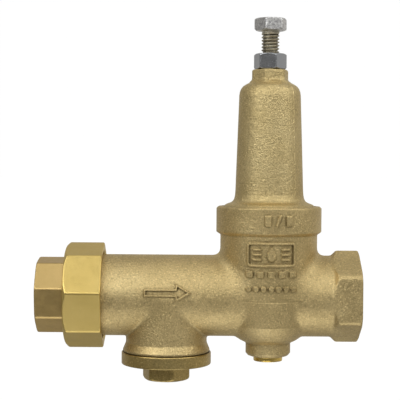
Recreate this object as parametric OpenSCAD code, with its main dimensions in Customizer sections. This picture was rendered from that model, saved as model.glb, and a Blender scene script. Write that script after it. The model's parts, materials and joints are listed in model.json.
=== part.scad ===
// Direct-acting pressure reducing valve for water, 3/4 inch female ports, with an
// integral strainer and a union inlet.
// Frame: origin at the centre of the outlet mouth, +X out of the outlet, +Z up the
// bell housing. The ports share the X axis. Lengths are millimetres.

/* [Layout] */
// Outlet face to the bell axis
outlet_reach = 39.4; // [38.6:0.1:41]
// Bell axis to the strainer axis
strainer_offset = 44.6; // [44:0.1:46]
// Bell axis to the inlet face
inlet_reach = 100.8; // [100:0.1:104]

/* [Body tube and ports] */
// Outside radius of the tube
tube_r = 17.6; // [17.2:0.1:18]
// Radius of the water way in the tube
waterway_r = 13.2; // [12.5:0.1:13.4]
// Minor radius of the 3/4 inch pipe thread in both ports
port_r = 12.1; // [11.9:0.05:12.3]
// Length of the pipe thread in both ports
port_length = 16; // [14:0.5:17]
// Outlet hexagon, across flats
outlet_af = 35; // [34.6:0.1:35.1]

/* [Bowl] */
// Outside radius of the bowl under the bell
bowl_r = 21; // [20.6:0.1:21.4]
// Outside radius of the rim that takes the bell
rim_r = 22.8; // [22.5:0.1:23.4]
// Height of the rim's top face
rim_top = 39.3; // [39:0.1:39.4]
// Radius of the pressure chamber in the bowl
chamber_r = 18; // [17.5:0.1:18.2]
// Height of the ledge that the diaphragm is clamped on
ledge_z = 28; // [27.8:0.1:28.1]

/* [Bell housing] */
// Height of the top of the bell's hexagon
bell_top = 98.9; // [98.5:0.1:99.5]
// Bell hexagon, across flats
bell_af = 14.6; // [14:0.1:15]
// Bell wall radius at the foot
bell_foot_r = 14.8; // [14.5:0.1:15.2]
// Bell wall radius at the shoulder
bell_shoulder_r = 13.4; // [13.2:0.1:13.6]

/* [Adjusting bolt, 5/16-18] */
// Major radius of the thread
bolt_r = 3.95; // [3.9:0.01:3.96]
// Thread pitch
bolt_pitch = 1.411; // [1.25:0.001:1.5]
// Length under the head
bolt_length = 31.75; // [31.5:0.05:32]
// Height of the underside of the head
bolt_head_z = 115.8; // [115.6:0.1:116]
// Thickness of the head
bolt_head_h = 5.3; // [5:0.1:5.6]
// Head and locknut, across flats
bolt_af = 12.7; // [12.5:0.1:13]
// Thickness of the locknut
locknut_h = 6.8; // [6:0.1:7]

/* [Range spring] */
// Wire radius of the range spring
wire_r = 1.5; // [1.3:0.1:1.5]
// Radius of the coil at the middle of the wire
coil_r = 8.8; // [8.5:0.1:8.9]
// Number of active turns
coil_turns = 6; // [5:1:7]

/* [Diaphragm and stem] */
// Thickness of the diaphragm
diaphragm_t = 1.4; // [1.2:0.1:1.4]
// Radius of the stem
stem_r = 2.5; // [2.4:0.02:2.5]
// Opening between the seat and the rubber disc at rest
valve_lift = 1.8; // [1.7:0.1:2]

/* [Strainer] */
// Outside radius of the strainer neck
neck_r = 17.5; // [17:0.1:17.5]
// Radius of the tapped mouth that takes the cap
cap_thread_r = 15; // [14.8:0.1:15]
// Radius of the strainer screen
screen_r = 11.2; // [11:0.1:11.3]
// Radius of the cap's flange
cap_r = 19.6; // [19.2:0.1:20]
// Cap hexagon, across flats
cap_af = 18.5; // [17:0.1:19]

/* [Union] */
// Union nut, across the flats of its octagon
nut_af = 42.6; // [42.2:0.1:43]
// Length of the union nut
nut_length = 16.4; // [16:0.1:17]
// Tailpiece, across the flats of its octagon
tail_af = 31; // [30.6:0.1:31]
// Radius of the body's union thread
union_thread_r = 19; // [18.8:0.05:19]

/* [Bottom plug] */
// Radius of the threaded plug
plug_r = 6.4; // [6.2:0.1:6.4]
// Radius of the nub that takes the plug
nub_r = 9.6; // [9.4:0.1:9.7]

/* [Cast marks] */
// Height of the raised marks
mark_h = 1; // [0.5:0.1:1.1]

/* [Hidden] */
$fn = 96;

fit = 0.05;                          // radial clearance of a running fit
bell_x = -outlet_reach;
strainer_x = bell_x - strainer_offset;
inlet_x = bell_x - inlet_reach;

// Union stack, measured along X
nut_right = bell_x - 72;             // end of the nut over the body's thread
nut_left = nut_right - nut_length;
lip_t = 3.5;                         // inward lip of the nut
collar_t = 3;                        // collar of the tailpiece behind the lip
gasket_t = 1.9;
collar_left = nut_left + lip_t + 2 * fit;
gasket_left = collar_left + collar_t;
body_end_x = gasket_left + gasket_t + fit;
thread_step = 1;                     // plain part of the body inside the nut
lip_r = 17;                          // bore of the lip, clears the tailpiece octagon
collar_r = 17.9;

// Heights along the bell axis
rim_chamfer = 0.7;                   // bevel round the rim's top edge
foot_r = 20.8;                       // lower edge of the bowl's upright wall
foot_z = -0.8;
boss_r = 18.5;                       // edge where the boss turns in to the nub
boss_z = -12.2;
web_top = 3;                         // web between the pressure sides
web_bottom = -1;
seat_tip = -3.5;
disc_top = seat_tip - valve_lift;
lower_floor = -16.5;                 // floor of the inlet chamber under the seat
nub_bottom = -26.5;
plug_bottom = -28.5;
plug_top = -14.5;
seat_hole_r = 8;
seat_bore_r = 5.4;
lower_r = 10;
ring_t = 1.2;                        // slip ring
bell_bottom = ledge_z + diaphragm_t + ring_t;
bell_thread_r = 20;
plate_z = ledge_z + diaphragm_t;
plate_t = 2.4;
washer_t = 1.6;
spring_z = plate_z + plate_t;
bolt_tip = bolt_head_z - bolt_length;
button_top = bolt_tip + 1;           // the bolt's tip sits in a 1 mm dimple
button_t = 4;
button_z = button_top - button_t;
bell_ceiling = 87.5;

// Heights along the strainer axis
flange_z = -24.5;
cap_face = flange_z - 2 * fit;
cap_flange_t = 5.3;
cap_bottom = -36.9;
partition_top = 1;
partition_bottom = -3;
screen_seat_r = screen_r + 0.4;      // hole in the partition that takes the screen
screen_bottom = -25.5;

arrow_x = strainer_x + 4.1;          // root of the flow arrow's head
arrow_z = 2.8;                       // height of the arrow's centre line

// Solid of revolution about Z from [radius, height] points
module turned(points) {
    rotate_extrude() polygon(points);
}

// Cylinder along +X
module along_x(x, r, length) {
    translate([x, 0, 0]) rotate([0, 90, 0]) cylinder(r = r, h = length);
}

// Solid of revolution about X: heights in the points run along +X from x. Its seam is
// turned away from the corners of the prisms it is cut with
module turned_x(x, points) {
    translate([x, 0, 0]) rotate([0, 90, 0]) rotate([0, 0, 20]) turned(points);
}

// Prism with the given flats across, first corner at an angle about Z
module prism(sides, across_flats, z, h, corner_angle) {
    translate([0, 0, z]) rotate([0, 0, corner_angle])
        cylinder(r = across_flats / 2 / cos(180 / sides), h = h, $fn = sides);
}

// Prism along +X with one corner raised by corner_angle above the -Y direction
module prism_x(sides, across_flats, x, length, corner_angle) {
    translate([x, 0, 0]) rotate([0, 90, 0]) rotate([0, 0, -90 - corner_angle])
        cylinder(r = across_flats / 2 / cos(180 / sides), h = length, $fn = sides);
}

// Ring of round section about Z
module o_ring(ring_r, section_r, z) {
    translate([0, 0, z]) rotate_extrude() translate([ring_r, 0]) circle(section_r, $fn = 32);
}

// Hexagonal nut with chamfered corners
module hex_nut(across_flats, bore_r, z, h, corner_angle) {
    corner_r = across_flats / 2 / cos(30);
    edge_r = across_flats / 2;
    drop = (corner_r - edge_r) * 0.6;
    difference() {
        intersection() {
            prism(6, across_flats, z, h, corner_angle);
            turned([[0, z], [edge_r, z], [corner_r + 0.1, z + drop],
                    [corner_r + 0.1, z + h - drop], [edge_r, z + h], [0, z + h]]);
        }
        translate([0, 0, z - 1]) cylinder(r = bore_r, h = h + 2);
    }
}

// Keeps an outline, drawn in X and Z, where it crosses a thin shell on the -Y side
module relief(shell_r, vertical) {
    intersection() {
        rotate([90, 0, 0]) linear_extrude(height = shell_r + 2) children();
        difference() {
            if (vertical) cylinder(r = shell_r + mark_h, h = rim_top - 0.5);
            else translate([-60, 0, 0]) rotate([0, 90, 0]) cylinder(r = shell_r + mark_h, h = 60);
            if (vertical) translate([0, 0, -1]) cylinder(r = shell_r - 1, h = rim_top + 2);
            else translate([-61, 0, 0]) rotate([0, 90, 0]) cylinder(r = shell_r - 1, h = 62);
        }
    }
}

// Plain badge: a frame round a water drop, and two rows of bars under it
module badge() {
    frame_w = 21;
    frame_h = 10.6;
    band = 1.1;
    frame_z = 19.5;
    drop_r = 2.2;
    translate([0, frame_z]) {
        difference() {
            square([frame_w, frame_h], center = true);
            square([frame_w - 2 * band, frame_h - 2 * band], center = true);
        }
        translate([0, -0.8]) circle(drop_r, $fn = 32);
        polygon([[-drop_r * 0.87, 0.3], [drop_r * 0.87, 0.3], [0, 3.6]]);
        for (side = [-1, 1], row = [-1, 0, 1])
            translate([side * 6, row * 2.2]) square([4, 0.9], center = true);
    }
    for (i = [-2:2])
        translate([i * 4.6, 11.1]) square([3, 2.6], center = true);
    for (i = [-3:3])
        translate([i * 3.2, 4.8]) circle(1.25, $fn = 24);
}

// Flow arrow pointing to the outlet, outlined
module arrow() {
    tail = 13.4;                     // shaft length
    head = 6.7;
    shaft = 1.6;                     // half heights
    barb = 3.9;
    difference() {
        polygon([[-tail, -shaft], [0, -shaft], [0, -barb], [head, 0], [0, barb], [0, shaft],
                 [-tail, shaft]]);
        polygon([[1 - tail, 0.8 - shaft], [1, 0.8 - shaft], [1, 2.1 - barb], [head - 2, 0],
                 [1, barb - 2.1], [1, shaft - 0.8], [1 - tail, shaft - 0.8]]);
    }
}

module cast_marks() {
    translate([bell_x, 0, 0]) relief(bowl_r, true) badge();
    // Two bars with a slanted bar between them on the rim
    translate([bell_x, 0, 0]) relief(rim_r, true) translate([3, 33.8]) {
        for (side = [-1, 1]) translate([side * 4.6, 0]) square([3, 4.4], center = true);
        rotate(-20) square([1.2, 5.4], center = true);
    }
    translate([arrow_x, 0, 0]) relief(tube_r, false) translate([0, arrow_z]) arrow();
}

// Outside of the cast body
module body_outside() {
    hex_r = outlet_af / 2 / cos(30);
    hex_len = 12.3;                  // hexagon with its ramp
    ramp = 3.3;
    end_chamfer = 1.1;
    along_x(body_end_x + 6, tube_r, -body_end_x - 6 - hex_len + ramp);
    along_x(body_end_x, union_thread_r, nut_right - body_end_x - thread_step);
    intersection() {
        prism_x(6, outlet_af, -hex_len, hex_len, 30);
        turned_x(-hex_len, [[0, 0], [outlet_af / 2 - 0.4, 0], [hex_r + 0.1, ramp],
                            [hex_r + 0.1, hex_len - end_chamfer], [hex_r - 2, hex_len],
                            [0, hex_len]]);
    }
    translate([bell_x, 0, 0]) {
        turned([[0, nub_bottom], [7, nub_bottom], [8.5, nub_bottom + 0.4],
                [nub_r, nub_bottom + 1.8], [nub_r, -20.3], [11.6, -19.7], [12.7, -18.8],
                [14.3, -17.7], [16.3, -15.4], [boss_r, boss_z], [foot_r, foot_z],
                [bowl_r, 0.8], [bowl_r, ledge_z - 1], [rim_r, ledge_z + 0.2],
                [rim_r, rim_top - rim_chamfer], [rim_r - rim_chamfer, rim_top], [0, rim_top]]);
    }
    translate([strainer_x, 0, 0])
        turned([[0, flange_z], [neck_r + 1.2, flange_z], [neck_r + 1.3, -23.6],
                [neck_r, -20.3], [neck_r, 0], [0, 0]]);
}

// Water ways, chambers and tapped holes of the body
module body_inside() {
    along_x(-port_length, port_r, port_length + 1);
    along_x(bell_x + 13, 11, outlet_reach - 13 - port_length + 1);
    along_x(body_end_x - 1, waterway_r, strainer_x - body_end_x - cap_thread_r - 1);
    // Over the partition: from the inlet into the screen
    intersection() {
        along_x(strainer_x - cap_thread_r - 3, waterway_r, cap_thread_r * 2);
        translate([strainer_x - 20, -20, partition_top]) cube([40, 40, 20]);
    }
    // Under the web: from round the screen to under the seat
    intersection() {
        along_x(strainer_x, waterway_r, strainer_offset - 5);
        translate([strainer_x, -20, -20]) cube([strainer_offset, 40, 16]);
    }
    translate([strainer_x, 0, 0]) {
        translate([0, 0, flange_z - 1]) cylinder(r = cap_thread_r, h = 8.5);
        translate([0, 0, flange_z]) cylinder(r = cap_thread_r - 0.6, h = partition_bottom - flange_z);
        translate([0, 0, partition_bottom - 1]) cylinder(r = screen_seat_r, h = 6);
    }
    translate([bell_x, 0, 0]) {
        translate([0, 0, lower_floor]) cylinder(r = lower_r, h = web_bottom - lower_floor);
        translate([0, 0, nub_bottom - 1]) cylinder(r = plug_r + fit, h = 12);
        translate([0, 0, web_bottom - 1]) cylinder(r = seat_hole_r, h = 6);
        translate([0, 0, web_top]) cylinder(r = chamber_r, h = ledge_z - web_top + 1);
        translate([0, 0, ledge_z]) cylinder(r = bell_thread_r, h = 20);
    }
}

module valve_body() {
    color("#b39a5e") difference() {
        union() {
            body_outside();
            cast_marks();
        }
        body_inside();
    }
}

// Spring cage: turned outside, cored inside, hexagon on top with the tapped hole
module bell_housing() {
    shoulder_z = 88;
    color("#b8a066") translate([bell_x, 0, 0]) difference() {
        union() {
            turned([[0, bell_bottom], [bell_thread_r - 2 * fit, bell_bottom],
                    [bell_thread_r - 2 * fit, rim_top + 0.2], [19, 40.05], [17.2, 40.9],
                    [15.6, 41.8], [15.1, 42.7], [bell_foot_r, 46.2],
                    [bell_shoulder_r, shoulder_z], [12.7, 90.4], [11.1, 91.7], [9.6, 92.6],
                    [8.6, 93.8], [0, 93.8]]);
            intersection() {
                prism(6, bell_af, 90, bell_top - 90, 14.3);
                turned([[0, 90], [9, 90], [9, bell_top - 1.1], [8, bell_top - 0.3],
                        [7, bell_top], [0, bell_top]]);
            }
        }
        turned([[0, bell_bottom - 1], [16.6, bell_bottom - 1], [16.6, 38], [12.7, 43.5],
                [11.4, bell_ceiling], [0, bell_ceiling]]);
        translate([0, 0, bell_ceiling - 1]) cylinder(r = bolt_r + fit, h = 20);
    }
}

// Hexagon-head set bolt, thread drawn as rings of the true pitch and depth
module adjusting_bolt() {
    crests = floor((bolt_length - 3) / bolt_pitch);
    root_r = bolt_r - 0.6 * bolt_pitch;
    rings = [for (i = [0:crests - 1], step = [0:1])
        [step == 0 ? bolt_r : root_r, bolt_tip + 1.2 + (i + step / 2) * bolt_pitch]];
    color("#8f9090") translate([bell_x, 0, 0]) {
        turned(concat([[0, bolt_tip], [root_r - 0.3, bolt_tip]], rings,
                      [[bolt_r, bolt_head_z - 1.6], [bolt_r, bolt_head_z + 0.5],
                       [0, bolt_head_z + 0.5]]));
        hex_nut(bolt_af, 0.01, bolt_head_z, bolt_head_h, 11.6);
    }
}

module locknut() {
    color("#8a8d90") translate([bell_x, 0, 0])
        hex_nut(bolt_af, bolt_r + fit, bell_top + fit, locknut_h, 48);
}

// Plate that the bolt's tip presses and the spring pushes against
module spring_button() {
    color("#9a9a96") translate([bell_x, 0, 0]) difference() {
        turned([[0, button_z - 2.5], [6.4, button_z - 2.5], [6.8, button_z], [10.6, button_z],
                [10.6, button_top - 0.8], [9.8, button_top], [0, button_top]]);
        turned([[0, bolt_tip - fit], [3, bolt_tip - fit], [4.2, button_top + 0.1],
                [0, button_top + 0.1]]);
    }
}

// Point of the wire's centre line after a number of turns; the end turns lie closed
function coil_height(turn, pitch) =
    turn < 1 ? 2 * wire_r * turn
    : turn < 1 + coil_turns ? 2 * wire_r + pitch * (turn - 1)
    : 2 * wire_r + pitch * coil_turns + 2 * wire_r * (turn - 1 - coil_turns);

module range_spring() {
    sides = 8;
    per_turn = 20;
    turns = coil_turns + 2;
    low = spring_z + wire_r * 0.7;
    high = button_z - wire_r * 0.7;
    pitch = (high - low - 4 * wire_r) / coil_turns;
    rings = turns * per_turn;
    points = [for (i = [0:rings], k = [0:sides - 1])
        let (turn = i / per_turn, a = 360 * turn, b = 360 * k / sides,
             r = coil_r + wire_r * cos(b))
        [r * cos(a), r * sin(a), low + coil_height(turn, pitch) + wire_r * sin(b)]];
    sides_faces = [for (i = [0:rings - 1], k = [0:sides - 1])
        let (a = i * sides + k, b = i * sides + (k + 1) % sides)
        [a, a + sides, b + sides, b]];
    ends = [[for (k = [0:sides - 1]) k],
            [for (k = [0:sides - 1]) rings * sides + sides - 1 - k]];
    color("#5b6066") translate([bell_x, 0, 0]) intersection() {
        polyhedron(points, concat(sides_faces, ends));
        translate([-20, -20, spring_z + fit]) cube([40, 40, button_z - spring_z - 2 * fit]);
    }
}

module diaphragm_plate() {
    color("#b0984f") translate([bell_x, 0, 0]) difference() {
        turned([[0, plate_z], [11.6, plate_z], [12, plate_z + 0.6], [12, spring_z],
                [6.6, spring_z], [6.2, spring_z + 2.6], [0, spring_z + 2.6]]);
        translate([0, 0, plate_z - 1]) cylinder(r = stem_r + fit, h = 10);
        translate([0, 0, spring_z + 0.4]) cylinder(r = 5, h = 10);
    }
}

// Friction ring that lets the bell turn without dragging the diaphragm
module slip_ring() {
    color("#c9b46f") translate([bell_x, 0, ledge_z + diaphragm_t]) difference() {
        cylinder(r = bell_thread_r - 4 * fit, h = ring_t);
        translate([0, 0, -1]) cylinder(r = 16.9, h = ring_t + 2);
    }
}

// Rubber diaphragm with one upward fold
module diaphragm() {
    fold_r = 14.4;
    fold_h = 2;
    color("#2b2b2b") translate([bell_x, 0, ledge_z]) rotate_extrude() {
        translate([stem_r + fit, 0]) square([10, diaphragm_t]);
        translate([fold_r + 1.4, 0]) square([bell_thread_r - 4 * fit - fold_r - 1.4, diaphragm_t]);
        intersection() {
            translate([fold_r, 0]) difference() {
                circle(fold_h + 0.3, $fn = 48);
                circle(fold_h - 0.9, $fn = 48);
            }
            translate([fold_r - 5, 0]) square([10, 5]);
        }
    }
}

module diaphragm_washer() {
    color("#b0984f") translate([bell_x, 0, ledge_z - washer_t]) difference() {
        cylinder(r = 12, h = washer_t);
        translate([0, 0, -1]) cylinder(r = stem_r + fit, h = washer_t + 2);
    }
}

// Stem: shoulder under the diaphragm, long shank through the seat to the bottom guide
module stem() {
    shoulder_top = ledge_z - washer_t;
    color("#a9a9a2") translate([bell_x, 0, 0])
        turned([[0, -24], [stem_r - 0.4, -24], [stem_r, -23.6], [stem_r, 20.5], [4.5, 22.5],
                [4.5, shoulder_top], [stem_r, shoulder_top], [stem_r, 37.6],
                [stem_r - 0.5, 38.1], [0, 38.1]]);
}

module stem_nut() {
    color("#8a8d90") translate([bell_x, 0, 0])
        hex_nut(8, stem_r + fit, spring_z + 0.4, 4.4, 10);
}

// Cup that holds the rubber disc against the stem
module disc_holder() {
    cup_bottom = disc_top - 4.5;
    color("#b0984f") translate([bell_x, 0, 0]) difference() {
        turned([[0, cup_bottom], [6.4, cup_bottom], [7.6, cup_bottom + 1.2],
                [7.6, disc_top - 0.5], [0, disc_top - 0.5]]);
        translate([0, 0, disc_top - 2.4]) cylinder(r = 6.9, h = 5);
        translate([0, 0, cup_bottom - 1]) cylinder(r = stem_r + fit, h = 10);
    }
}

module seat_disc() {
    color("#262626") translate([bell_x, 0, disc_top - 2.4]) difference() {
        cylinder(r = 6.85, h = 2.4);
        translate([0, 0, -1]) cylinder(r = stem_r + fit, h = 5);
    }
}

module disc_nut() {
    color("#8a8d90") translate([bell_x, 0, 0])
        hex_nut(8, stem_r + fit, disc_top - 7.5, 3, 25);
}

// Replaceable seat screwed into the web
module seat_ring() {
    color("#c2ab66") translate([bell_x, 0, 0]) difference() {
        turned([[0, seat_tip], [6.2, seat_tip], [7.2, seat_tip + 1.6], [7.2, web_bottom - 0.4],
                [seat_hole_r - fit, web_bottom], [seat_hole_r - fit, 0], [6.3, 0], [6.3, 1.9],
                [seat_hole_r - fit, 1.9], [seat_hole_r - fit, web_top], [10.5, web_top],
                [10.5, web_top + 1.8], [0, web_top + 1.8]]);
        translate([0, 0, seat_tip - 1]) cylinder(r = seat_bore_r, h = 12);
    }
}

module seat_o_ring() {
    color("#1f1f1f") translate([bell_x, 0, 0]) o_ring(7.15, 0.8, 0.95);
}

// Slotted brass plug with the stem's lower guide bored in its inner end
module bottom_plug() {
    color("#d8b548") translate([bell_x, 0, 0]) difference() {
        turned([[0, plug_bottom], [plug_r - 0.6, plug_bottom], [plug_r, plug_bottom + 0.6],
                [plug_r, -20], [4.7, -20], [4.7, -17.9], [plug_r, -17.9],
                [plug_r, plug_top - 0.5], [plug_r - 0.5, plug_top], [0, plug_top]]);
        translate([-10, -0.8, plug_bottom - 1]) cube([20, 1.6, 2.8]);
        translate([0, 0, -25]) cylinder(r = stem_r + fit, h = 12);
    }
}

module plug_o_ring() {
    color("#1f1f1f") translate([bell_x, 0, 0]) o_ring(5.55, 0.8, -18.95);
}

// Perforated tube of the strainer
module strainer_screen() {
    rows = 6;
    per_row = 12;
    hole_r = 1.2;
    bottom = screen_bottom + 1.2;
    top = partition_bottom - 0.2;
    color("#9d9d98") translate([strainer_x, 0, 0]) difference() {
        translate([0, 0, bottom]) cylinder(r = screen_r, h = top - bottom);
        translate([0, 0, bottom - 1]) cylinder(r = screen_r - 0.6, h = top - bottom + 2);
        for (row = [0:rows - 1], i = [0:per_row - 1])
            rotate([0, 0, (i + row / 2) * 360 / per_row])
                translate([screen_r - 2, 0, -20.4 + row * 3])
                    rotate([0, 90, 0]) cylinder(r = hole_r, h = 4);
    }
}

module screen_top_ring() {
    color("#c9b46f") translate([strainer_x, 0, 0]) difference() {
        turned([[0, partition_bottom - 0.2], [screen_seat_r - fit, partition_bottom - 0.2],
                [screen_seat_r - fit, partition_top], [0, partition_top]]);
        translate([0, 0, partition_bottom - 2]) cylinder(r = screen_r - 0.6, h = 10);
    }
}

module screen_base_ring() {
    color("#c9b46f") translate([strainer_x, 0, screen_bottom]) difference() {
        cylinder(r = 12.1, h = 1.2);
        translate([0, 0, -1]) cylinder(r = screen_r - 1, h = 3);
    }
}

// Screw cap: threaded skirt, sealing flange and hexagon
module strainer_cap() {
    hex_r = cap_af / 2 / cos(30);
    color("#ab9155") translate([strainer_x, 0, 0]) difference() {
        union() {
            turned([[0, cap_face - cap_flange_t], [cap_r - 0.8, cap_face - cap_flange_t],
                    [cap_r, cap_face - cap_flange_t + 0.8], [cap_r, cap_face - 0.3],
                    [cap_r - 0.3, cap_face], [cap_thread_r - fit, cap_face],
                    [cap_thread_r - fit, -18.1], [cap_thread_r - 0.8, -17.4], [0, -17.4]]);
            intersection() {
                prism(6, cap_af, cap_bottom, 10, 48);
                turned([[0, cap_bottom], [hex_r - 1.8, cap_bottom],
                        [hex_r + 0.1, cap_bottom + 1.3], [hex_r + 0.1, -27], [0, -27]]);
            }
        }
        // Pocket for the screen and groove for the seal
        translate([0, 0, screen_bottom - fit]) cylinder(r = 12.2, h = 20);
        translate([0, 0, cap_face - 1.6]) difference() {
            cylinder(r = 18, h = 3);
            translate([0, 0, -1]) cylinder(r = 16.2, h = 5);
        }
    }
}

module cap_o_ring() {
    color("#1f1f1f") translate([strainer_x, 0, 0]) o_ring(17.1, 0.75, cap_face - 0.75);
}

// Octagonal nut with an inward lip behind the tailpiece's collar
module union_nut() {
    corner_r = nut_af / 2 / cos(22.5);
    color("#d3b060") difference() {
        intersection() {
            prism_x(8, nut_af, nut_left, nut_length, 7);
            turned_x(nut_left, [[0, 0], [nut_af / 2 - 1.2, 0], [corner_r + 0.1, 1.8],
                                [corner_r + 0.1, nut_length - 0.4],
                                [corner_r - 0.6, nut_length], [0, nut_length]]);
        }
        along_x(nut_left - 1, lip_r, nut_length + 2);
        along_x(nut_left + lip_t, union_thread_r + fit, nut_length);
    }
}

// Female tailpiece: octagon outside the nut, collar inside it
module union_tailpiece() {
    corner_r = tail_af / 2 / cos(22.5);
    octagon = collar_left - 2 - inlet_x;
    color("#b48f56") difference() {
        union() {
            intersection() {
                prism_x(8, tail_af, inlet_x, octagon, 13.9);
                turned_x(inlet_x, [[0, 0], [corner_r - 0.9, 0], [corner_r + 0.1, 0.7],
                                   [corner_r + 0.1, octagon], [0, octagon]]);
            }
            along_x(inlet_x + octagon - 1, tail_af / 2 - 0.3, 3.5);
            along_x(collar_left, collar_r, collar_t);
        }
        along_x(inlet_x - 1, port_r, port_length + 1);
        along_x(inlet_x, port_r - 0.8, 30);
    }
}

module union_gasket() {
    color("#3a3532") difference() {
        along_x(gasket_left, collar_r, gasket_t);
        along_x(gasket_left - 1, port_r, gasket_t + 2);
    }
}

valve_body();
bell_housing();
adjusting_bolt();
locknut();
spring_button();
range_spring();
diaphragm_plate();
slip_ring();
diaphragm();
diaphragm_washer();
stem();
stem_nut();
disc_holder();
seat_disc();
disc_nut();
seat_ring();
seat_o_ring();
bottom_plug();
plug_o_ring();
strainer_screen();
screen_top_ring();
screen_base_ring();
strainer_cap();
cap_o_ring();
union_nut();
union_tailpiece();
union_gasket();
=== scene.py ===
"""Pressure reducing valve: visible pieces, materials, floor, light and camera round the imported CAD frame.

Every cast, turned or milled piece is written as a signed distance function in millimetres, in the row
frame, and meshed on a grid. The CAD nodes inside the valve are kept and get materials.
"""
import json
import math

import bpy
import numpy as np
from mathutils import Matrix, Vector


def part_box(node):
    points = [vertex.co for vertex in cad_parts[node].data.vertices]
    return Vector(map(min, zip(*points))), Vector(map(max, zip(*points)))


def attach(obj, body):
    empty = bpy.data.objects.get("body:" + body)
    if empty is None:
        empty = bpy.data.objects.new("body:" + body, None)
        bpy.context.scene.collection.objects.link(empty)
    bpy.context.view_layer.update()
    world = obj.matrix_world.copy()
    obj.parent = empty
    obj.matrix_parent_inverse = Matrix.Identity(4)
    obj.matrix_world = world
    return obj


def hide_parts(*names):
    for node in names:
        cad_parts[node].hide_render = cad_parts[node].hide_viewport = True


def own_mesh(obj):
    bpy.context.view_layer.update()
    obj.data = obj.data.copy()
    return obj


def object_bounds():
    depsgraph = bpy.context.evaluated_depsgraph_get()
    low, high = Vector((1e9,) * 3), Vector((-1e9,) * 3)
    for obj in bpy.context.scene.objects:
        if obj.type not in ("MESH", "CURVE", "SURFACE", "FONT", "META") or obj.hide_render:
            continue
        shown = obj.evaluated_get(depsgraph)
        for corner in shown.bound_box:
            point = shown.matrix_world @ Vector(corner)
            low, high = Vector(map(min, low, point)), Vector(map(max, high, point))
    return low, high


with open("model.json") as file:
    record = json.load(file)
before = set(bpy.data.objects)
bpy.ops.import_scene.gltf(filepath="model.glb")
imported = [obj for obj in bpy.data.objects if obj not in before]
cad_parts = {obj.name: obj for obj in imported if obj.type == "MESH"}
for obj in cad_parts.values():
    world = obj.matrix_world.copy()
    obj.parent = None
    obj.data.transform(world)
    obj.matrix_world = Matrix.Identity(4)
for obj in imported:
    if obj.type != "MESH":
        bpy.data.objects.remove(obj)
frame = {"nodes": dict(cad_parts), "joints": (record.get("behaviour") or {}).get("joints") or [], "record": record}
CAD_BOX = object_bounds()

import openvdb
from mathutils import Matrix, Vector

MM = 0.001

# ------------------------------------------------------------------ places, from the frame


def box_mm(node):
    """(lowest, highest) corner of a CAD node in millimetres."""
    low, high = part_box(node)
    return np.array(low) / MM, np.array(high) / MM


def joint_axis_mm(name):
    """A point on a hinge's axis, in millimetres."""
    joint = next(j for j in frame["joints"] if j["name"] == name)
    return np.array(joint["pos_m"]) / MM


BELL_X = joint_axis_mm("bolt_turn")[0]
STRAINER_X = joint_axis_mm("cap_turn")[0]
PORT = next(m for m in frame["record"]["mounts"] if m["name"] == "outlet_port")["dims"]
PORT_R, PORT_LENGTH = PORT["r_mm"], PORT["length_mm"]
BODY_LOW, BODY_HIGH = box_mm("valve_body")
BELL_LOW, BELL_HIGH = box_mm("bell_housing")
BOLT_LOW, BOLT_HIGH = box_mm("adjusting_bolt")
LOCK_LOW, LOCK_HIGH = box_mm("locknut")
CAP_LOW, CAP_HIGH = box_mm("strainer_cap")
NUT_LOW, NUT_HIGH = box_mm("union_nut")
TAIL_LOW, TAIL_HIGH = box_mm("union_tailpiece")
PLUG_LOW, PLUG_HIGH = box_mm("bottom_plug")

# ------------------------------------------------------------------ dimensions, millimetres

TUBE_R = 17.6
BOWL_R = 21.0
FOOT_R, FOOT_Z = 20.75, -0.8
BOSS_R, BOSS_Z = 18.4, -12.2
RIM_R = 22.8
RIM_TOP = BODY_HIGH[2]
LEDGE_Z = 28.0
NECK_R = 17.5
FLANGE_Z = -24.5
NUB_R = 9.6
UNION_THREAD_R = 19.0
UNION_PITCH = 1.814
OUTLET_AF = 35.0
HEX_LENGTH = 12.3
BOLT_R = 3.95
BOLT_PITCH = 1.411
BOLT_AF = 12.7
BOLT_HEAD_Z = BOLT_HIGH[2] - 5.3
MARK_H = 0.95
MARK_EDGE = 0.15                     # softness where a mark meets the casting
BADGE_Z = 19.5                       # middle of the frame round the water drop
SIZE_MARK_X, SIZE_MARK_Z = 3, 33.8   # middle of the mark on the rim, from the bell axis
ARROW_X, ARROW_Z = 4.1, 2.8          # root of the arrow's head, from the strainer axis
NUT_AF = 42.6
TAIL_AF = 31
CAP_AF = 18.5
CAP_FLANGE_R = 19.6
BELL_NUB_AF = 14.6
WATER_R = 13.2                       # water ways of the inlet side
SEAM_H, SEAM_HALF = 0.16, 0.45       # parting seam left by the mould
RUNNING_FIT = 0.05
SLOPE = 0.7071                       # sine of 45 degrees

# ------------------------------------------------------------------ distance functions


def smin(a, b, k):
    """Union with a soft inner edge; k is about 1.2 times the fillet radius."""
    h = np.maximum(k - np.abs(a - b), 0.0) / k
    return np.minimum(a, b) - h * h * k * 0.25


def smax(a, b, k):
    """Intersection with a soft outer edge."""
    return -smin(-a, -b, k)


def polygon(u, v, points):
    """Signed distance to a closed outline in a plane."""
    best = np.full(u.shape, 1e9, dtype=u.dtype)
    inside = np.zeros(u.shape, dtype=bool)
    for (ax, ay), (bx, by) in zip(points, points[1:] + points[:1]):
        ex, ey = bx - ax, by - ay
        wx, wy = u - ax, v - ay
        t = np.clip((wx * ex + wy * ey) / (ex * ex + ey * ey), 0.0, 1.0)
        dx, dy = wx - ex * t, wy - ey * t
        best = np.minimum(best, dx * dx + dy * dy)
        crosses = (ay > v) != (by > v)
        if ey:
            inside ^= crosses & (u < ex * (v - ay) / ey + ax)
    d = np.sqrt(best)
    return np.where(inside, -d, d)


def turned(x, y, z, points):
    """Solid of revolution about Z from an outline that starts and ends on the axis. It is mirrored
    over the axis, so that the axis is no edge."""
    mirror = [(-r, h) for r, h in reversed(points) if r]
    return polygon(np.hypot(x, y), z, list(points) + mirror)


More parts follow.
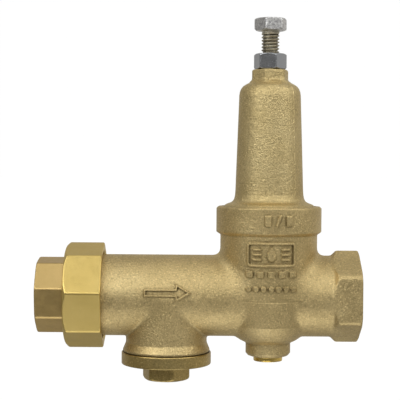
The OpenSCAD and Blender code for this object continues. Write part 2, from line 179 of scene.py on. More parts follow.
def slab(t, low, high):
    return np.abs(t - (low + high) / 2) - (high - low) / 2


def prism(u, v, sides, across_flats, corner_deg, k):
    """Regular prism about the third axis, with rounded corners; corner_deg turns a corner from +u."""
    d = None
    for i in range(sides):
        a = math.radians(corner_deg + (i + 0.5) * 360 / sides)
        face = u * math.cos(a) + v * math.sin(a) - across_flats / 2
        d = face if d is None else smax(d, face, k)
    return d


def thread(radius, angle, along, major, pitch, depth):
    """Surface of a right-hand V thread; depth is negative for a thread cut in a bore."""
    phase = along / pitch - angle / (2 * math.pi)
    wave = np.abs((phase - np.floor(phase)) * 2 - 1)
    flat = np.clip(wave * 1.25 - 0.125, 0.0, 1.0)
    return radius - major + depth * flat


def rounded_box(u, v, half_u, half_v, r):
    du, dv = np.abs(u) - half_u + r, np.abs(v) - half_v + r
    return np.hypot(np.maximum(du, 0), np.maximum(dv, 0)) + np.minimum(np.maximum(du, dv), 0) - r


# ------------------------------------------------------------------ meshing

BLOCK = 8


def grid_field(sdf, low, high, voxel):
    """The distance on a grid, worked out only in the blocks that the surface may cross."""
    counts = np.ceil((high - low) / (voxel * BLOCK)).astype(int)
    half = BLOCK * voxel * math.sqrt(3) / 2
    cx, cy, cz = [low[i] + (np.arange(counts[i]) + 0.5) * BLOCK * voxel for i in range(3)]
    centres = np.meshgrid(cx, cy, cz, indexing="ij")
    coarse = sdf(*[c.astype(np.float32) for c in centres])
    dense = np.repeat(np.repeat(np.repeat(np.sign(coarse) * 3 * voxel, BLOCK, 0), BLOCK, 1), BLOCK, 2)
    dense = dense.astype(np.float32)
    offsets = np.arange(BLOCK) * voxel
    near = np.argwhere(np.abs(coarse) < half * 1.25)
    for start in range(0, len(near), 2000):
        part = near[start:start + 2000]
        base = low + part * BLOCK * voxel
        x = (base[:, 0, None, None, None] + offsets[None, :, None, None] + np.zeros((1, 1, BLOCK, BLOCK)))
        y = (base[:, 1, None, None, None] + offsets[None, None, :, None] + np.zeros((1, BLOCK, 1, BLOCK)))
        z = (base[:, 2, None, None, None] + offsets[None, None, None, :] + np.zeros((1, BLOCK, BLOCK, 1)))
        values = sdf(x.astype(np.float32), y.astype(np.float32), z.astype(np.float32))
        values = np.clip(values, -3 * voxel, 3 * voxel)
        for (i, j, k), block in zip(part * BLOCK, values):
            dense[i:i + BLOCK, j:j + BLOCK, k:k + BLOCK] = block
    return dense


def gradient(sdf, p, step):
    """Direction of steepest rise at points p, by central differences."""
    g = np.zeros_like(p)
    for axis in range(3):
        shift = np.zeros(3)
        shift[axis] = step
        g[:, axis] = sdf(*(p + shift).T) - sdf(*(p - shift).T)
    length = np.linalg.norm(g, axis=1, keepdims=True)
    return g / np.maximum(length, 1e-9)


def settle(sdf, p, voxel):
    """Moves points onto the surface."""
    for _ in range(3):
        d = np.clip(sdf(*p.T), -voxel / 2, voxel / 2)
        p = p - gradient(sdf, p, voxel * 0.2) * d[:, None]
    return p


def add_piece(name, sdf, low, high, voxel, body, nodes, material, keep=1.0):
    """Meshes a distance function, and puts the piece on its body in place of the CAD nodes."""
    low, high = np.array(low, float) - 2 * voxel, np.array(high, float) + 2 * voxel
    dense = grid_field(sdf, low, high, voxel)
    grid = openvdb.FloatGrid(3 * voxel)
    grid.copyFromArray(dense)
    points, quads = grid.convertToQuads(isovalue=0.0)
    points = settle(sdf, points * voxel + low, voxel)
    mesh = bpy.data.meshes.new(name)
    mesh.from_pydata((points * MM).tolist(), [], quads.tolist())
    obj = bpy.data.objects.new(name, mesh)
    bpy.context.scene.collection.objects.link(obj)
    if keep < 1.0:
        thin = obj.modifiers.new("thin", "DECIMATE")
        thin.ratio = keep
        graph = bpy.context.evaluated_depsgraph_get()
        mesh = bpy.data.meshes.new_from_object(obj.evaluated_get(graph))
        obj.modifiers.clear()
        obj.data = mesh
    count = len(mesh.vertices)
    flat = np.empty(count * 3)
    mesh.vertices.foreach_get("co", flat)
    points = settle(sdf, flat.reshape(-1, 3) / MM, voxel)
    mesh.vertices.foreach_set("co", (points * MM).ravel())
    mesh.shade_smooth()
    mesh.update()
    mesh.normals_split_custom_set_from_vertices(gradient(sdf, points, voxel * 0.35))
    mesh.materials.append(material)
    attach(obj, body)
    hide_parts(*nodes)
    print(f"{name}: {len(mesh.polygons)} faces")
    return obj


# ------------------------------------------------------------------ materials


class Nodes:
    """Short ways to add nodes to a material."""

    def __init__(self, name):
        self.material = bpy.data.materials.new(name)
        self.material.use_nodes = True
        self.tree = self.material.node_tree
        self.shader = self.tree.nodes["Principled BSDF"]
        self.place = self.add("ShaderNodeTexCoord").outputs["Object"]

    def add(self, kind, **inputs):
        node = self.tree.nodes.new(kind)
        for key, value in inputs.items():
            if isinstance(value, bpy.types.NodeSocket):
                self.tree.links.new(value, node.inputs[key])
            else:
                node.inputs[key].default_value = value
        return node

    def noise(self, scale, detail=3.0, rough=0.5):
        node = self.add("ShaderNodeTexNoise", Scale=scale, Detail=detail, Roughness=rough)
        self.tree.links.new(self.place, node.inputs["Vector"])
        return node.outputs["Fac"]

    def ramp(self, value, stops):
        node = self.add("ShaderNodeValToRGB", Fac=value)
        first, last = node.color_ramp.elements[0], node.color_ramp.elements[-1]
        first.position, first.color = stops[0][0], (*stops[0][1], 1)
        last.position, last.color = stops[-1][0], (*stops[-1][1], 1)
        for position, colour in stops[1:-1]:
            node.color_ramp.elements.new(position).color = (*colour, 1)
        return node.outputs["Color"]

    def spread(self, value, low, high, start=0.3, end=0.7):
        node = self.add("ShaderNodeMapRange", Value=value)
        for key, number in (("From Min", start), ("From Max", end), ("To Min", low), ("To Max", high)):
            node.inputs[key].default_value = number
        return node.outputs["Result"]

    def painted_shade_mask(self, reach):
        """Mask for painted shade: 1 on open surfaces, falling towards 0 in corners and along raised marks."""
        node = self.add("ShaderNodeAmbientOcclusion", Distance=reach)
        node.samples = 8
        return node.outputs["AO"]

    def below(self, height):
        """1 under a height in the piece's own frame, and 0 above it."""
        split = self.add("ShaderNodeSeparateXYZ", Vector=self.place)
        step = self.add("ShaderNodeMath")
        step.operation = "LESS_THAN"
        self.tree.links.new(split.outputs["Z"], step.inputs[0])
        step.inputs[1].default_value = height
        return step.outputs["Value"]

    def mix(self, factor, a, b):
        node = self.tree.nodes.new("ShaderNodeMix")
        node.data_type = "RGBA"
        sockets = {s.identifier: s for s in node.inputs}
        for key, value in (("Factor_Float", factor), ("A_Color", a), ("B_Color", b)):
            if isinstance(value, bpy.types.NodeSocket):
                self.tree.links.new(value, sockets[key])
            else:
                sockets[key].default_value = value
        return next(s for s in node.outputs if s.identifier == "Result_Color")

    def bump(self, height, distance, strength=1.0, before=None):
        node = self.add("ShaderNodeBump", Height=height, Distance=distance, Strength=strength)
        if before is not None:
            self.tree.links.new(before, node.inputs["Normal"])
        return node.outputs["Normal"]

    def set(self, socket, value):
        if isinstance(value, bpy.types.NodeSocket):
            self.tree.links.new(value, self.shader.inputs[socket])
        else:
            self.shader.inputs[socket].default_value = value


def cast_brass(name, low, mid, high, rough=(0.4, 0.55), grain=0.3):
    """Sand-cast brass: patches of grain with dark pits and light crests, soft tarnish, and painted shade that
    darkens the corners.
    """
    n = Nodes(name)
    colour = n.ramp(n.noise(45, 4, 0.6), [(0.3, low), (0.52, mid), (0.72, high)])
    grains = n.noise(1450, 2, 0.65)
    pits = n.spread(grains, 0.5, 0.0, 0.3, 0.46)
    crests = n.spread(grains, 0.0, 0.7, 0.56, 0.72)
    colour = n.mix(pits, colour, (*[c * 0.5 for c in low], 1))
    colour = n.mix(crests, colour, (*[min(c * 1.45, 1) for c in high], 1))
    # Painted shade: the colour darkens towards 0.3 of the low tone in corners and along raised marks, where shade
    # falls.
    corner = n.spread(n.painted_shade_mask(1.1 * MM), 0.95, 0.0, 0.5, 0.95)
    n.set("Base Color", n.mix(corner, colour, (*[c * 0.3 for c in low], 1)))
    n.set("Metallic", 0.92)
    n.set("Roughness", n.spread(n.noise(700, 3, 0.6), *rough))
    coarse = n.bump(n.noise(420, 2, 0.5), grain * 0.5 * MM)
    n.set("Normal", n.bump(grains, grain * MM, n.spread(n.noise(70, 2), 0.45, 1.0, 0.38, 0.6), coarse))
    return n.material


def machined(name, low, high, rough=(0.3, 0.42), grain=0.012, metallic=1.0):
    """Turned or milled metal: faint cloudiness and tool marks."""
    n = Nodes(name)
    n.set("Base Color", n.ramp(n.noise(90, 4, 0.6), [(0.3, low), (0.7, high)]))
    n.set("Metallic", metallic)
    n.set("Roughness", n.spread(n.noise(420, 4, 0.65), *rough))
    n.set("Normal", n.bump(n.noise(1300, 3, 0.6), grain * MM))
    return n.material


def zinc_bolt(name):
    """Zinc-plated bolt: pitted grey head, and a shank with a brown and yellow passivated film; painted shade
    darkens the corners.
    """
    n = Nodes(name)
    head = n.ramp(n.noise(1100, 3, 0.7), [(0.36, (0.44, 0.43, 0.45)), (0.5, (0.68, 0.68, 0.67)),
                                          (0.62, (0.84, 0.84, 0.83))])
    shank = n.ramp(n.noise(300, 3, 0.6), [(0.35, (0.44, 0.38, 0.28)), (0.65, (0.68, 0.65, 0.53))])
    film = n.mix(n.below(BOLT_HEAD_Z * MM), head, shank)
    # Painted shade: the colour darkens to near black in corners and crevices, where shade falls.
    corner = n.spread(n.painted_shade_mask(0.9 * MM), 0.9, 0.0, 0.4, 0.85)
    n.set("Base Color", n.mix(corner, film, (0.06, 0.05, 0.035, 1)))
    n.set("Metallic", 1.0)
    n.set("Roughness", n.spread(n.noise(700, 3, 0.6), 0.28, 0.45))
    n.set("Normal", n.bump(n.noise(1100, 3, 0.6), 0.08 * MM))
    return n.material


def rubber(name, low, high):
    n = Nodes(name)
    n.set("Base Color", n.ramp(n.noise(220, 3), [(0.3, low), (0.7, high)]))
    n.set("Roughness", n.spread(n.noise(500, 3), 0.55, 0.75))
    n.set("Normal", n.bump(n.noise(1500, 2), 0.02 * MM))
    return n.material


BRASS_BODY = cast_brass("cast_brass", (0.53, 0.41, 0.19), (0.63, 0.49, 0.235), (0.70, 0.56, 0.28))
BRASS_BELL = cast_brass("bell_brass", (0.54, 0.42, 0.195), (0.62, 0.49, 0.235), (0.68, 0.55, 0.28))
BRASS_CAP = cast_brass("cap_brass", (0.44, 0.32, 0.11), (0.52, 0.385, 0.145), (0.60, 0.46, 0.19),
                       rough=(0.28, 0.42), grain=0.06)
BRASS_NUT = machined("nut_brass", (0.72, 0.54, 0.175), (0.79, 0.60, 0.21), rough=(0.32, 0.45), grain=0.02)
BRONZE = machined("tail_bronze", (0.60, 0.43, 0.17), (0.70, 0.51, 0.215), rough=(0.32, 0.45), grain=0.03)
BRIGHT = machined("plug_brass", (0.80, 0.56, 0.14), (0.86, 0.63, 0.19), rough=(0.2, 0.3))
ZINC = machined("zinc_steel", (0.56, 0.56, 0.55), (0.68, 0.68, 0.67), rough=(0.3, 0.42), grain=0.04)
ZINC_NUT = machined("zinc_nut", (0.47, 0.49, 0.52), (0.54, 0.555, 0.58), rough=(0.12, 0.2), grain=0.012)
ZINC_BOLT = zinc_bolt("zinc_bolt")
SPRING = machined("spring_steel", (0.10, 0.10, 0.11), (0.16, 0.16, 0.17), rough=(0.3, 0.45))
STAINLESS = machined("stainless", (0.50, 0.50, 0.49), (0.58, 0.58, 0.57), rough=(0.22, 0.34))
INNER = machined("inner_brass", (0.66, 0.48, 0.18), (0.74, 0.56, 0.24), rough=(0.25, 0.38))
RUBBER = rubber("rubber", (0.012, 0.012, 0.012), (0.03, 0.03, 0.03))
FIBRE = rubber("gasket_fibre", (0.05, 0.04, 0.035), (0.09, 0.075, 0.065))

BY_SLOT = {
    "spring_steel": SPRING, "stainless": STAINLESS, "inner_brass": INNER, "rubber": RUBBER,
    "gasket_fibre": FIBRE, "zinc_steel": ZINC, "cast_brass": BRASS_BODY, "bell_brass": BRASS_BELL,
    "cap_brass": BRASS_CAP, "nut_brass": BRASS_NUT, "tail_bronze": BRONZE, "plug_brass": BRIGHT,
}
for entry in frame["record"]["subparts"]:
    node = frame["nodes"][entry["node"]]
    node.data.materials.clear()
    node.data.materials.append(BY_SLOT[entry["material_slot"]])

# ------------------------------------------------------------------ cast body

BODY_END = BODY_LOW[0]
BOWL_PROFILE = [(0, -26.5), (7.0, -26.5), (8.6, -26.0), (NUB_R, -24.8), (NUB_R, -20.4), (10.7, -19.9),
                (12.3, -19.1), (13.6, -18.2), (14.9, -16.9), (16.2, -15.4), (17.3, -13.8),
                (BOSS_R, BOSS_Z), (BOSS_R + 0.1, BOSS_Z + 0.7), (FOOT_R - 0.25, FOOT_Z - 0.5),
                (FOOT_R, FOOT_Z), (BOWL_R, 0.8), (BOWL_R, LEDGE_Z - 1.0), (RIM_R, LEDGE_Z + 0.2),
                (RIM_R, RIM_TOP - 0.7), (RIM_R - 0.7, RIM_TOP), (0, RIM_TOP)]
NECK_PROFILE = [(0, FLANGE_Z), (18.75, FLANGE_Z), (18.8, -23.6), (NECK_R + 0.1, -20.7),
                (NECK_R, -20.1), (NECK_R, 0), (0, 0)]


def badge(u, v):
    """Distance to the plain badge: a frame round a water drop, and two rows of marks."""
    frame_v = v - BADGE_Z
    outer = rounded_box(u, frame_v, 10.4, 5.2, 1.6)
    ring = np.abs(outer + 0.5) - 0.5
    drop = smin(np.hypot(u, frame_v + 0.9) - 2.0,
                polygon(u, frame_v, [(-1.7, 0.2), (1.7, 0.2), (0.0, 3.5)]), 0.3)
    lines = None
    for row in (-1, 0, 1):
        bar = rounded_box(np.abs(u) - 6.1, frame_v - row * 2.2, 2.0, 0.45, 0.4)
        lines = bar if lines is None else np.minimum(lines, bar)
    bars = rounded_box(u - 4.6 * np.clip(np.round(u / 4.6), -2, 2), v - 11.1, 1.5, 1.3, 0.5)
    dots = np.hypot(u - 3.2 * np.clip(np.round(u / 3.2), -3, 3), v - 4.8) - 1.2
    return np.minimum.reduce([ring, drop, lines, bars, dots])


def size_mark(u, v):
    """Two upright bars with a slanted bar between them."""
    bars = rounded_box(np.abs(u - SIZE_MARK_X) - 4.6, v - SIZE_MARK_Z, 1.5, 2.2, 0.6)
    c, s = math.cos(math.radians(20)), math.sin(math.radians(20))
    du, dv = u - SIZE_MARK_X, v - SIZE_MARK_Z
    slash = rounded_box(du * c - dv * s, du * s + dv * c, 0.6, 2.7, 0.4)
    return np.minimum(bars, slash)


def arrow(u, v):
    """Outlined flow arrow."""
    tail, head, shaft, barb = 13.4, 6.7, 1.6, 3.9
    outline = [(-tail, -shaft), (0, -shaft), (0, -barb), (head, 0), (0, barb), (0, shaft), (-tail, shaft)]
    return np.abs(polygon(u, v, outline) + 0.4) - 0.4


def embossed(surface, outline, side, k=0.25):
    """A mark raised from a surface on the side facing -Y."""
    mark = smax(outline, surface - MARK_H, k)
    return np.maximum(mark, side)


def body_outside(x, y, z):
    bx, sx = x - BELL_X, x - STRAINER_X
    tube_r = np.hypot(y, z)
    tube = smax(tube_r - TUBE_R, slab(x, BODY_END + 6, -HEX_LENGTH + 3.3), 0.6)
    bowl = turned(bx, y, z, BOWL_PROFILE)
    neck = turned(sx, y, z, NECK_PROFILE)
    hexagon = prism(z, y, 6, OUTLET_AF, 0, 1.3)
    ramp = tube_r * SLOPE - (x + HEX_LENGTH) * SLOPE - (OUTLET_AF / 2) * SLOPE
    end = tube_r * 0.5 + x * 0.866 - (OUTLET_AF / 2 + 1.5) * 0.5
    hexagon = smax(smax(smax(hexagon, ramp, 0.5), end, 0.5), slab(x, -HEX_LENGTH - 1, 0), 0.4)
    d = smin(tube, bowl, np.where(z < 0, 1.0, 3.6))
    d = smin(d, neck, 1.0)
    d = smin(d, hexagon, 0.7)
    seam = np.maximum.reduce([d - SEAM_H, np.abs(y) - SEAM_HALF, x + 0.5, z - RIM_TOP + 0.8])
    d = smin(d, seam, 0.4)
    front = y + 4
    near_bowl = np.hypot(bx, y) - BOWL_R
    near_rim = np.hypot(bx, y) - RIM_R
    d = smin(d, embossed(np.maximum(near_bowl, slab(z, 0, 27)), badge(bx, z), front),
             MARK_EDGE)
    d = smin(d, embossed(np.maximum(near_rim, slab(z, 29, 38.5)), size_mark(bx, z), front),
             MARK_EDGE)
    d = smin(d, embossed(tube_r - TUBE_R, arrow(sx - ARROW_X, z - ARROW_Z), front), MARK_EDGE)
    spigot = thread(tube_r, np.arctan2(z, y), x, UNION_THREAD_R, UNION_PITCH, 0.9) * 0.8
    spigot = smax(spigot, slab(x, BODY_END, NUT_HIGH[0] - 1), 0.5)
    return smin(d, spigot, 0.3)


def body_inside(x, y, z):
    bx, sx = x - BELL_X, x - STRAINER_X
    tube_r = np.hypot(y, z)
    bell_r = np.hypot(bx, y)
    neck_r = np.hypot(sx, y)
    port = thread(tube_r, np.arctan2(z, y), x, PORT_R, UNION_PITCH, -1.0) * 0.8
    port = smin(port, tube_r - PORT_R + (-x - 0.9) * 0.9, 0.2)
    port = np.maximum(port, slab(x, -PORT_LENGTH, 5))
    outlet = np.maximum(tube_r - 11, slab(x, BELL_X + 13, -PORT_LENGTH + 1))
    inlet = np.maximum(tube_r - WATER_R, slab(x, BODY_END - 2, STRAINER_X - 16))
    over = np.maximum(np.maximum(tube_r - WATER_R, 1 - z), slab(x, STRAINER_X - 18, STRAINER_X + 12))
    under = np.maximum(np.maximum(tube_r - WATER_R, z + 4), slab(x, STRAINER_X, BELL_X - 5))
    mouth = np.maximum(neck_r - 15, slab(z, FLANGE_Z - 2, FLANGE_Z + 7.5))
    well = np.maximum(neck_r - 14.4, slab(z, FLANGE_Z, -3))
    seat = np.maximum(neck_r - 11.6, slab(z, -4, 2))
    lower = np.maximum(bell_r - 10, slab(z, -16.5, -1))
    plug = np.maximum(bell_r - 6.45, slab(z, -28, -15.5))
    ring = np.maximum(bell_r - 8, slab(z, -2, 4))
    chamber = np.maximum(bell_r - 18, slab(z, 3, LEDGE_Z + 1))
    bell_bore = np.maximum(bell_r - 20, slab(z, LEDGE_Z, RIM_TOP + 5))
    return np.minimum.reduce([port, outlet, inlet, over, under, mouth, well, seat, lower, plug, ring,
                              chamber, bell_bore])


def body_sdf(x, y, z):
    return smax(body_outside(x, y, z), -body_inside(x, y, z), 0.3)


add_piece("body_casting", body_sdf, BODY_LOW, BODY_HIGH, 0.42, "body", ["valve_body"],
          BRASS_BODY, keep=0.5)

# ------------------------------------------------------------------ bell housing

BELL_TOP = BELL_HIGH[2]
SHOULDER = [(14.8, 46.2), (13.45, 86.2), (13.4, 87.6), (13.15, 89.2), (12.6, 90.5), (11.8, 91.5),
            (10.6, 92.3), (9.4, 92.9), (8.7, 93.5), (0, 93.6)]
BELL_PROFILE = [(0, BELL_LOW[2]), (19.9, BELL_LOW[2]), (19.9, 39.3), (19.1, 40.0), (18.3, 40.4),
                (17.2, 40.75), (16.3, 41.2), (15.7, 41.8), (15.25, 42.7), (14.95, 44.2)] + SHOULDER


def bell_sdf(x, y, z):
    bx = x - BELL_X
    r = np.hypot(bx, y)
    d = turned(bx, y, z, BELL_PROFILE)
    angle = math.radians(-90 + 47)
    across = np.abs(-bx * math.sin(angle) + y * math.cos(angle)) - 0.35
    ridge = np.maximum(np.maximum(d - 0.12, across), 44 - z)
    d = smin(d, ridge, 0.4)
    nub = prism(bx, y, 6, BELL_NUB_AF, 14.3, 0.9)
    nub = smax(nub, slab(z, 88, BELL_TOP), 0.9)
    nub = smax(nub, r * 0.6 + (z - BELL_TOP) * 0.8 - 4.62, 0.6)
    d = smin(d, nub, 1.6)
    cavity = turned(bx, y, z, [(0, 20), (16.6, 20), (16.6, 38), (12.7, 43.5), (11.4, 87.5), (0, 87.5)])
    bore = np.maximum(r - BOLT_R - RUNNING_FIT, slab(z, 80, 110))
    return smax(d, -np.minimum(cavity, bore), 0.2)


add_piece("bell_casting", bell_sdf, BELL_LOW, BELL_HIGH, 0.36, "body", ["bell_housing"],
          BRASS_BELL, keep=0.7)

# ------------------------------------------------------------------ adjusting bolt and locknut


def hex_head(x, y, z, low, high, corner_deg, across_flats):
    """Hexagon with both ends chamfered at 30 degrees."""
    r = np.hypot(x, y)
    d = prism(x, y, 6, across_flats, corner_deg, 0.5)
    cone = across_flats / 2 * 0.985
    top = (r - cone) * 0.5 + (z - high) * 0.866
    bottom = (r - cone) * 0.5 + (low - z) * 0.866
    d = smax(smax(d, top, 0.25), bottom, 0.25)
    return smax(d, slab(z, low, high), 0.15)


def bolt_sdf(x, y, z):
    bx = x - BELL_X
    r = np.hypot(bx, y)
    shank = thread(r, np.arctan2(y, bx), z, BOLT_R, BOLT_PITCH, 0.82) * 0.8
    plain = smax(r - BOLT_R + 0.25, slab(z, BOLT_HEAD_Z - 1.6, BOLT_HEAD_Z + 1), 0.2)
    shank = smin(np.maximum(shank, slab(z, BOLT_LOW[2], BOLT_HEAD_Z + 1)), plain, 0.3)
    shank = smax(shank, (r - 2.6) * SLOPE + (BOLT_LOW[2] - z) * SLOPE, 0.2)
    head = hex_head(bx, y, z, BOLT_HEAD_Z, BOLT_HIGH[2], 11.6, BOLT_AF)
    return smin(shank, head, 0.3)


add_piece("adjusting_bolt_piece", bolt_sdf, BOLT_LOW, BOLT_HIGH, 0.17, "adjusting_bolt",
          ["adjusting_bolt"], ZINC_BOLT)


def locknut_sdf(x, y, z):
    bx = x - BELL_X
    r = np.hypot(bx, y)
    d = hex_head(bx, y, z, LOCK_LOW[2], LOCK_HIGH[2], 48, BOLT_AF)
    bore = r - BOLT_R - RUNNING_FIT
    sink = (r - BOLT_R - 0.7) * SLOPE + (np.abs(z - (LOCK_LOW[2] + LOCK_HIGH[2]) / 2) * -1
                                          + (LOCK_HIGH[2] - LOCK_LOW[2]) / 2) * SLOPE
    return smax(d, -np.minimum(bore, sink), 0.15)


add_piece("locknut_piece", locknut_sdf, LOCK_LOW, LOCK_HIGH, 0.17, "locknut", ["locknut"],
          ZINC_NUT)

# ------------------------------------------------------------------ range spring

SPRING_LOW, SPRING_HIGH = box_mm("range_spring")
WIRE_R = 1.5
COIL_R = SPRING_HIGH[0] - BELL_X - WIRE_R
ACTIVE_TURNS = 6


def coil_height(turn, pitch):
    """Height of the wire's centre after a number of turns; the end turns lie closed."""
    rise = np.clip(turn, 0, 1) + np.clip(turn - 1 - ACTIVE_TURNS, 0, 1)
    return 2 * WIRE_R * rise + pitch * np.clip(turn - 1, 0, ACTIVE_TURNS)


def add_spring():
    """Coil spring at the CAD spring's length. In the real valve it shortens towards the diaphragm plate as the
    bolt is screwed in; here its length is fixed.
    """
    low, high = SPRING_LOW[2] + WIRE_R, SPRING_HIGH[2] - WIRE_R
    pitch = (high - low - 4 * WIRE_R) / ACTIVE_TURNS
    sides, per_turn = 16, 64
    turn = np.arange((ACTIVE_TURNS + 2) * per_turn + 1)[:, None] / per_turn
    a, b = 2 * math.pi * turn, 2 * math.pi * np.arange(sides)[None, :] / sides
    r = COIL_R + WIRE_R * np.cos(b) + 0 * a
    z = low + coil_height(turn, pitch) + WIRE_R * np.sin(b)
    points = np.stack([BELL_X + r * np.cos(a), r * np.sin(a), z + 0 * a], axis=-1).reshape(-1, 3)
    rings = len(turn)
    faces = [(i * sides + k, (i + 1) * sides + k,
              (i + 1) * sides + (k + 1) % sides, i * sides + (k + 1) % sides)
             for i in range(rings - 1) for k in range(sides)]
    faces += [tuple(range(sides)), tuple(range(rings * sides - 1, (rings - 1) * sides - 1, -1))]
    mesh = bpy.data.meshes.new("range_spring_piece")
    mesh.from_pydata((points * MM).tolist(), [], faces)
    mesh.shade_smooth()
    mesh.materials.append(SPRING)
    obj = bpy.data.objects.new("range_spring_piece", mesh)
    bpy.context.scene.collection.objects.link(obj)
    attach(obj, "body")
    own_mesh(obj)
    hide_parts("range_spring")


add_spring()

# ------------------------------------------------------------------ union


def nut_sdf(x, y, z):
    r = np.hypot(y, z)
    left, right = NUT_LOW[0], NUT_HIGH[0]
    d = prism(-y, z, 8, NUT_AF, 7, 0.45)
    start = (r - 21.3) * 0.62 + (left + 0.1 - x) * 0.78
    finish = (r - 22.6) * SLOPE + (x - right) * SLOPE
    d = smax(smax(smax(d, start, 0.5), finish, 0.3), slab(x, left, right), 0.4)
    lip = np.maximum(r - 17, slab(x, left - 5, right + 5))
    bore = np.maximum(r - UNION_THREAD_R - RUNNING_FIT, slab(x, left + 3.5, right + 5))
    mouth = (r - 19.6) * SLOPE + (right - x) * SLOPE
    return smax(d, -np.minimum.reduce([lip, bore, mouth]), 0.25)


add_piece("union_nut_piece", nut_sdf, NUT_LOW, NUT_HIGH, 0.36, "union_nut", ["union_nut"],
          BRASS_NUT)


def tail_sdf(x, y, z):
    r = np.hypot(y, z)
    left, right = TAIL_LOW[0], TAIL_HIGH[0]
    octagon_end = right - 5
    d = prism(-y, z, 8, TAIL_AF, 13.9, 0.6)
    start = (r - 16.1) * 0.62 + (left - x) * 0.78
    d = smax(smax(d, start, 0.3), slab(x, left, octagon_end), 0.3)
    neck = np.maximum(r - 15.2, slab(x, octagon_end - 1, right - 1))
    collar = smax(r - 17.9, slab(x, right - 3, right), 0.2)
    d = np.minimum(np.minimum(d, neck), collar)
    port = thread(r, np.arctan2(z, y), x, PORT_R, UNION_PITCH, -1.0) * 0.8
    port = smin(port, r - PORT_R + (x - left - 0.9) * 0.9, 0.2)
    port = np.maximum(port, slab(x, left - 5, left + PORT_LENGTH))
    through = np.maximum(r - PORT_R + 0.8, slab(x, left - 5, right + 5))
    return smax(d, -np.minimum(port, through), 0.2)


add_piece("tailpiece_piece", tail_sdf, TAIL_LOW, TAIL_HIGH, 0.32, "tailpiece", ["union_tailpiece"],
          BRONZE)

# ------------------------------------------------------------------ strainer cap and bottom plug


def cap_sdf(x, y, z):
    sx = x - STRAINER_X
    r = np.hypot(sx, y)
    bottom, top = CAP_LOW[2], CAP_HIGH[2]
    flange_low, flange_high = FLANGE_Z - 5.4, FLANGE_Z - 0.1
    flange = smax(r - CAP_FLANGE_R, slab(z, flange_low, flange_high), 0.5)
    skirt = thread(r, np.arctan2(y, sx), z, 14.95, 1.5, 0.6) * 0.8
    skirt = smax(skirt, slab(z, flange_high - 1, top), 0.4)
    hexagon = prism(sx, y, 6, CAP_AF, 48, 0.8)
    chamfer = (r - 9.3) * 0.6 + (bottom - z) * 0.8
    hexagon = smax(smax(hexagon, chamfer, 0.6), slab(z, bottom, flange_low + 1), 0.5)
    d = smin(smin(flange, skirt, 0.3), hexagon, 0.7)
    pocket = np.maximum(r - 12.2, slab(z, -25.55, 0))
    groove = np.maximum(np.abs(r - 17.1) - 0.9, slab(z, flange_high - 1.6, flange_high + 1))
    return smax(d, -np.minimum(pocket, groove), 0.2)


add_piece("strainer_cap_piece", cap_sdf, CAP_LOW, CAP_HIGH, 0.34, "strainer_cap", ["strainer_cap"],
          BRASS_CAP)


def plug_sdf(x, y, z):
    bx = x - BELL_X
    r = np.hypot(bx, y)
    bottom, top = PLUG_LOW[2], PLUG_HIGH[2]
    d = thread(r, np.arctan2(y, bx), z, 6.4, BOLT_PITCH, 0.5) * 0.8
    plain = np.maximum(r - 6.35, slab(z, bottom, bottom + 2.4))
    d = smax(np.minimum(d, plain), slab(z, bottom, top), 0.5)
    slot = np.maximum(np.abs(y) - 0.8, z - bottom - 1.8)
    guide = np.maximum(r - 2.55, slab(z, -25, -10))
    groove = np.maximum(4.7 - r, slab(z, -20, -17.9))
    return smax(d, -np.minimum.reduce([slot, guide, groove]), 0.2)


add_piece("bottom_plug_piece", plug_sdf, PLUG_LOW, PLUG_HIGH, 0.2, "bottom_plug", ["bottom_plug"],
          BRIGHT)

# ------------------------------------------------------------------ floor, light and camera

FLOOR_Z = CAD_BOX[0][2]
WORLD_FRONT, WORLD_BACK = 0.18, 0.52
CAMERA_X, CAMERA_DISTANCE, CAMERA_Z = BELL_X - 30.25, 525, 57.1
CAMERA_PITCH, CAMERA_ROLL = 1.67, 0.4
AIM = Vector((CAMERA_X, 0, 40)) * MM


def plain_material(name, colour, glow):
    material = bpy.data.materials.new(name)
    material.use_nodes = True
    shader = material.node_tree.nodes["Principled BSDF"]
    shader.inputs["Base Color"].default_value = (*colour, 1)
    shader.inputs["Roughness"].default_value = 0.9
    shader.inputs["Emission Color"].default_value = (1, 1, 1, 1)
    shader.inputs["Emission Strength"].default_value = glow
    return material


def add_stage():
    """White floor and dome, which only the camera sees."""
    bpy.ops.mesh.primitive_plane_add(size=16, location=(0, 0, FLOOR_Z))
    floor = bpy.context.object
    floor.name = "floor"
    floor.data.materials.append(plain_material("floor_white", (0, 0, 0), 1.0))
    bpy.ops.mesh.primitive_uv_sphere_add(segments=48, ring_count=24, radius=7.5)
    dome = bpy.context.object
    dome.name = "dome"
    dome.data.materials.append(plain_material("dome_white", (0, 0, 0), 1.0))
    for thing in (floor, dome):
        thing.visible_diffuse = False
        thing.visible_glossy = False
        thing.visible_transmission = False
        thing.visible_shadow = False


def softbox(name, azimuth, elevation, size, radiance, distance=0.9):
    """Square area light round the valve; azimuth 0 is the camera's side, positive to the right."""
    light = bpy.data.lights.new(name, "AREA")
    light.shape = "RECTANGLE"
    light.size, light.size_y = size
    light.energy = radiance * math.pi * size[0] * size[1]
    obj = bpy.data.objects.new(name, light)
    bpy.context.scene.collection.objects.link(obj)
    a, e = math.radians(azimuth), math.radians(elevation)
    away = Vector((math.sin(a) * math.cos(e), -math.cos(a) * math.cos(e), math.sin(e)))
    obj.location = AIM + away * distance
    obj.rotation_mode = "QUATERNION"
    obj.rotation_quaternion = away.to_track_quat("Z", "Y")
    return obj


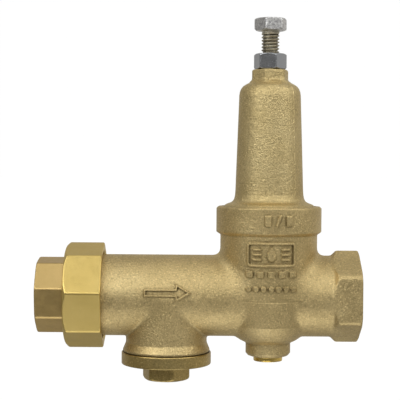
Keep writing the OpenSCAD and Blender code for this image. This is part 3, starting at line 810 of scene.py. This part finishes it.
def add_world():
    """Dim studio: dark at the front, where the camera stands, and below; lighter behind and to +X."""
    world = bpy.data.worlds.new("studio")
    world.use_nodes = True
    tree = world.node_tree
    place = tree.nodes.new("ShaderNodeTexCoord").outputs["Generated"]
    split = tree.nodes.new("ShaderNodeSeparateXYZ")
    spread = tree.nodes.new("ShaderNodeMapRange")
    tree.links.new(place, split.inputs["Vector"])
    tree.links.new(split.outputs["Y"], spread.inputs["Value"])
    for key, value in (("From Min", -1.0), ("From Max", 1.0), ("To Min", WORLD_FRONT),
                       ("To Max", WORLD_BACK)):
        spread.inputs[key].default_value = value
    under = tree.nodes.new("ShaderNodeMapRange")
    tree.links.new(split.outputs["Z"], under.inputs["Value"])
    for key, value in (("From Min", -0.8), ("From Max", -0.1), ("To Min", 0.65), ("To Max", 1.0)):
        under.inputs[key].default_value = value
    strength = tree.nodes.new("ShaderNodeMath")
    strength.operation = "MULTIPLY"
    tree.links.new(spread.outputs["Result"], strength.inputs[0])
    tree.links.new(under.outputs["Result"], strength.inputs[1])
    side = tree.nodes.new("ShaderNodeMath")
    side.operation = "MULTIPLY_ADD"
    tree.links.new(split.outputs["X"], side.inputs[0])
    side.inputs[1].default_value, side.inputs[2].default_value = 0.25, 1.0
    both = tree.nodes.new("ShaderNodeMath")
    both.operation = "MULTIPLY"
    tree.links.new(strength.outputs["Value"], both.inputs[0])
    tree.links.new(side.outputs["Value"], both.inputs[1])
    background = tree.nodes["Background"]
    background.inputs["Color"].default_value = (1.0, 0.97, 0.92, 1)
    tree.links.new(both.outputs["Value"], background.inputs["Strength"])
    bpy.context.scene.world = world


def add_light():
    softbox("key_left", -46, 31, (0.62, 0.52), 2.7)
    softbox("key_mid", 2, 28, (0.5, 0.46), 1.9)
    softbox("key_right", 58, 31, (0.5, 0.5), 2.4)
    softbox("top", 0, 80, (0.9, 0.5), 0.9)
    softbox("low_front", 0, -66, (1.2, 0.75), 1.1)


def add_camera():
    data = bpy.data.cameras.new("camera")
    data.sensor_width = 36
    data.lens = 108
    data.clip_end = 50
    camera = bpy.data.objects.new("camera", data)
    bpy.context.scene.collection.objects.link(camera)
    pitch, roll = math.radians(90 - CAMERA_PITCH), math.radians(CAMERA_ROLL)
    place = Matrix.Translation(Vector((CAMERA_X, -CAMERA_DISTANCE, CAMERA_Z)) * MM)
    camera.matrix_world = place @ Matrix.Rotation(pitch, 4, "X") @ Matrix.Rotation(roll, 4, "Z")
    bpy.context.scene.camera = camera


add_stage()
add_world()
add_light()
add_camera()
bpy.context.scene.view_settings.view_transform = "Standard"
